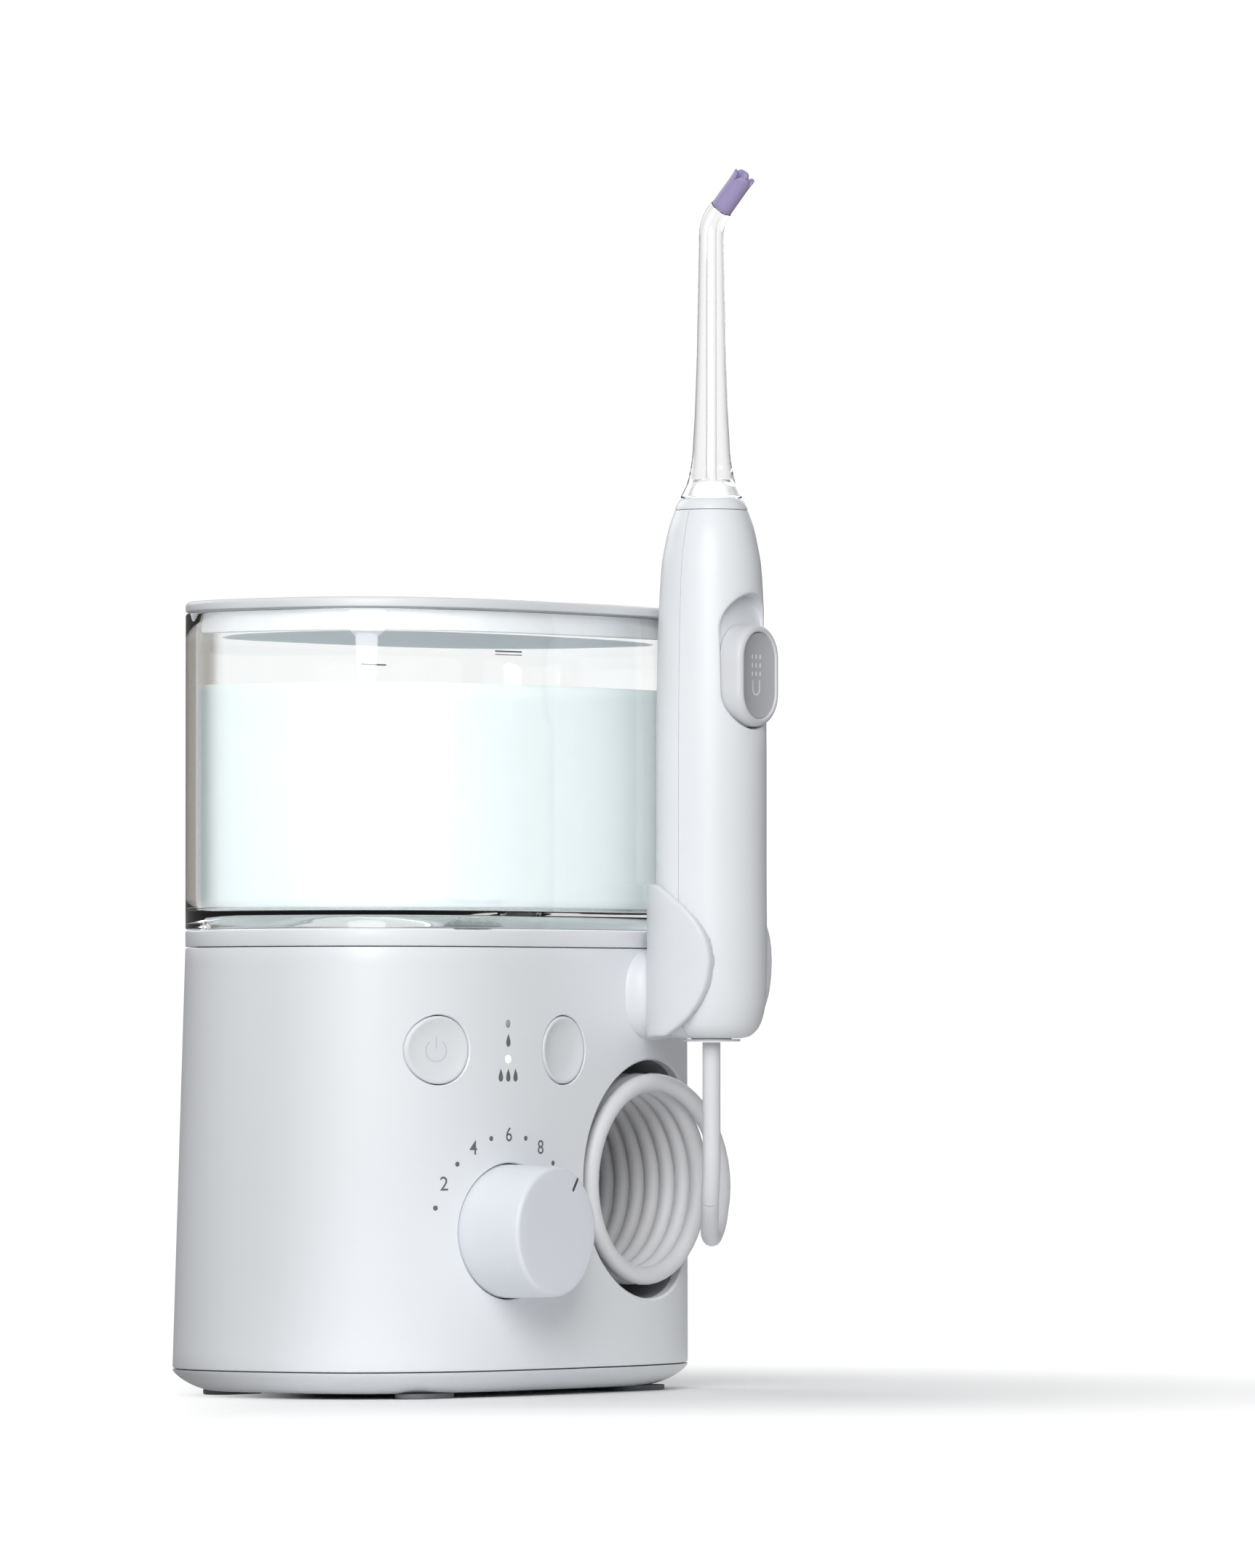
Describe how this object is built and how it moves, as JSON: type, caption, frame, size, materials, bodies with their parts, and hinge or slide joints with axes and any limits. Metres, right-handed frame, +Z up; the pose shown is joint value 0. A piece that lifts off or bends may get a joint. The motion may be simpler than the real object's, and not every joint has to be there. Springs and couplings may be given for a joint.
{
  "type": "water flosser",
  "caption": "Countertop water flosser: an oval pump base with a dial, buttons and a coiled hose, a clear lift-off tank and a handle with a bent nozzle in a side cradle.",
  "frame": {"origin": "on the ground under the centre of the tank's oval plan, which is also the centre of the whole footprint", "axes": "+Z up, -Y is the front with the dial and the buttons, +X is the right side of the front view, where the handle stands"},
  "size_m": [0.1458, 0.1516, 0.3035],
  "materials": {
    "shell_white": "satin injection-moulded ABS with a very fine grain",
    "trim_white": "satin injection-moulded ABS",
    "slider_grey": "fine matte moulding",
    "hose_grey": "smooth soft PVC",
    "clear_plastic": "clear polished SAN",
    "lilac_rubber": "soft silicone, satin",
    "pad_rubber": "matte",
    "seal_rubber": "matte silicone",
    "bay_grey": "matte moulding",
    "board_green": "solder-masked glass epoxy",
    "black_plastic": "moulded",
    "gear_acetal": "natural acetal",
    "pump_grey": "glass-filled nylon",
    "steel": "zinc-plated sheet",
    "brass": "machined"
  },
  "bodies": {
    "base": {"base_housing": "shell_white", "base_deck": "shell_white", "bottom_cover": "trim_white", "foot_front_left": "pad_rubber", "foot_front_right": "pad_rubber", "foot_rear_left": "pad_rubber", "foot_rear_right": "pad_rubber", "cover_screw_front_left": "steel", "cover_screw_front_right": "steel", "cover_screw_rear_left": "steel", "cover_screw_rear_right": "steel", "hose_bay": "bay_grey", "handle_cradle": "trim_white", "control_board": "board_green", "power_tact_switch": "black_plastic", "mode_tact_switch": "black_plastic", "upper_light_pipe": "clear_plastic", "lower_light_pipe": "clear_plastic", "pressure_valve": "pump_grey", "pump_plate": "steel", "motor_can": "steel", "pump_cylinder": "pump_grey", "pump_head": "pump_grey", "inlet_check_valve": "seal_rubber", "outlet_check_valve": "seal_rubber", "inlet_seal": "seal_rubber", "inlet_tube": "hose_grey", "pressure_tube": "hose_grey", "feed_tube": "hose_grey", "hose_fitting": "brass", "power_supply": "board_green", "strain_relief": "hose_grey", "power_cord": "hose_grey", "power_plug": "hose_grey", "hose_coil": "hose_grey", "hose_lead": "hose_grey"},
    "power_key": {"power_button": "shell_white"},
    "mode_key": {"mode_button": "shell_white"},
    "knob": {"pressure_knob": "shell_white", "knob_shaft": "pump_grey"},
    "tank": {"tank_shell": "clear_plastic", "tank_valve": "seal_rubber"},
    "lid": {"tank_lid": "trim_white"},
    "handle": {"handle_front_shell": "shell_white", "handle_rear_shell": "shell_white", "handle_cap": "trim_white", "handle_tube": "hose_grey", "flow_valve": "pump_grey"},
    "slider": {"slide_switch": "slider_grey"},
    "collar": {"nozzle_collar": "shell_white"},
    "nozzle": {"nozzle_stem": "clear_plastic", "nozzle_plug": "trim_white", "nozzle_seal": "seal_rubber", "nozzle_tip": "lilac_rubber"},
    "rotor": {"motor_armature": "steel", "motor_pinion": "brass"},
    "crank": {"crank_gear": "gear_acetal"},
    "rod": {"connecting_rod": "gear_acetal"},
    "piston": {"pump_piston": "pump_grey"}
  },
  "joints": [
    {"name": "tank_lift", "type": "slide", "parent": "base", "child": "tank", "axis": [0, 0, 1], "range_m": [0, 0.04]},
    {"name": "lid_lift", "type": "slide", "parent": "tank", "child": "lid", "axis": [0, 0, 1], "range_m": [0, 0.03]},
    {"name": "power_press", "type": "slide", "parent": "base", "child": "power_key", "axis": [0, 1, 0], "range_m": [0, 0.0008]},
    {"name": "mode_press", "type": "slide", "parent": "base", "child": "mode_key", "axis": [0, 1, 0], "range_m": [0, 0.0008]},
    {"name": "knob_turn", "type": "hinge", "parent": "base", "child": "knob", "pos_m": [-0.027, -0.0476, 0.0407], "axis": [0, 1, 0], "range_deg": [-108.5, 27.4]},
    {"name": "handle_lift", "type": "slide", "parent": "base", "child": "handle", "axis": [0, 0, 1], "range_m": [0, 0.045], "deforming": ["hose_lead"]},
    {"name": "slider_slide", "type": "slide", "parent": "handle", "child": "slider", "axis": [0, 0, 1], "range_m": [0, 0.007]},
    {"name": "collar_turn", "type": "hinge", "parent": "handle", "child": "collar", "pos_m": [0.032, -0.0607, 0.22], "axis": [0, 0, 1], "continuous": true},
    {"name": "nozzle_pull", "type": "slide", "parent": "collar", "child": "nozzle", "axis": [0, 0, 1], "range_m": [0, 0.02]},
    {"name": "crank_spin", "type": "hinge", "parent": "base", "child": "crank", "pos_m": [-0.027, -0.0099, 0.082], "axis": [0, 1, 0], "continuous": true},
    {"name": "rotor_spin", "type": "hinge", "parent": "base", "child": "rotor", "pos_m": [-0.04715, -0.0099, 0.082], "axis": [0, 1, 0], "continuous": true},
    {"name": "rod_orbit", "type": "hinge", "parent": "crank", "child": "rod", "pos_m": [-0.027, -0.0149, 0.084], "axis": [0, 1, 0], "continuous": true},
    {"name": "piston_stroke", "type": "slide", "parent": "base", "child": "piston", "axis": [0, 0, 1], "range_m": [-0.002, 0.002]}
  ],
  "couplings": [
    {"joint": "rotor_spin", "follows": "crank_spin", "ratio": -4},
    {"joint": "rod_orbit", "follows": "crank_spin", "ratio": -1}
  ]
}
